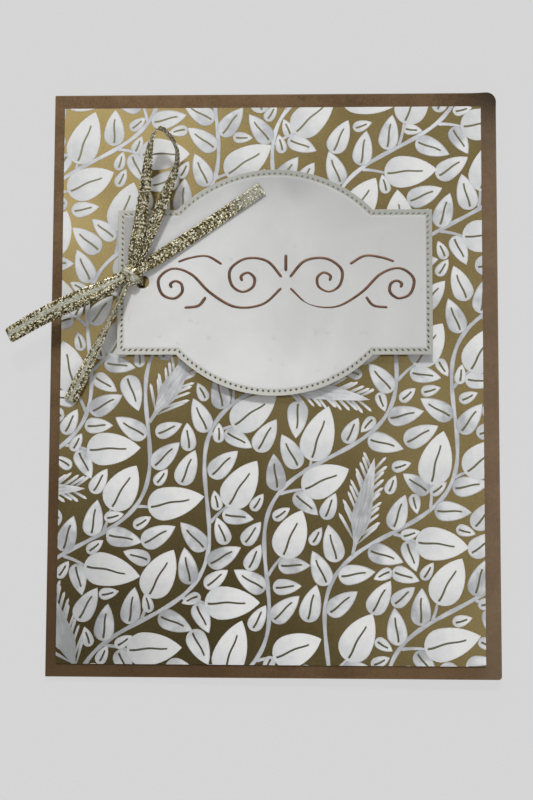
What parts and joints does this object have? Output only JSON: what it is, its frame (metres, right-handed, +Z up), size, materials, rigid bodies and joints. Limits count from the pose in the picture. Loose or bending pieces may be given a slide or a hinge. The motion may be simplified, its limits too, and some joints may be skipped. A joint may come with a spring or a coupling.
{
  "type": "greeting card",
  "caption": "Folded kraft greeting card lying closed: gold panel with white foliage, raised die-cut label with a line ornament, and a glitter ribbon bow tied through the label's hole.",
  "frame": {"origin": "middle of the card's underside, on the surface it lies on", "axes": "+X to the right of the card's front, away from its fold; +Y to the top of its front; +Z up, out of its front"},
  "size_m": [0.117, 0.1396, 0.0096],
  "materials": {
    "kraft_card": "matte uncoated brown kraft stock",
    "gold_paper": "satin gold metallic print on paper",
    "white_print": "white and silver-grey print",
    "foam": "white adhesive foam",
    "white_card": "smooth white card, embossed border",
    "copper_line": "copper-brown heat-raised line",
    "gold_braid": "metallic gold glitter braid"
  },
  "bodies": {
    "root": {"card_base": "kraft_card", "patterned_panel": "gold_paper", "leaf_print": "white_print", "foam_pads": "foam", "label_tag": "white_card", "line_ornament": "copper_line", "ribbon_bow": "gold_braid"}
  },
  "joints": []
}
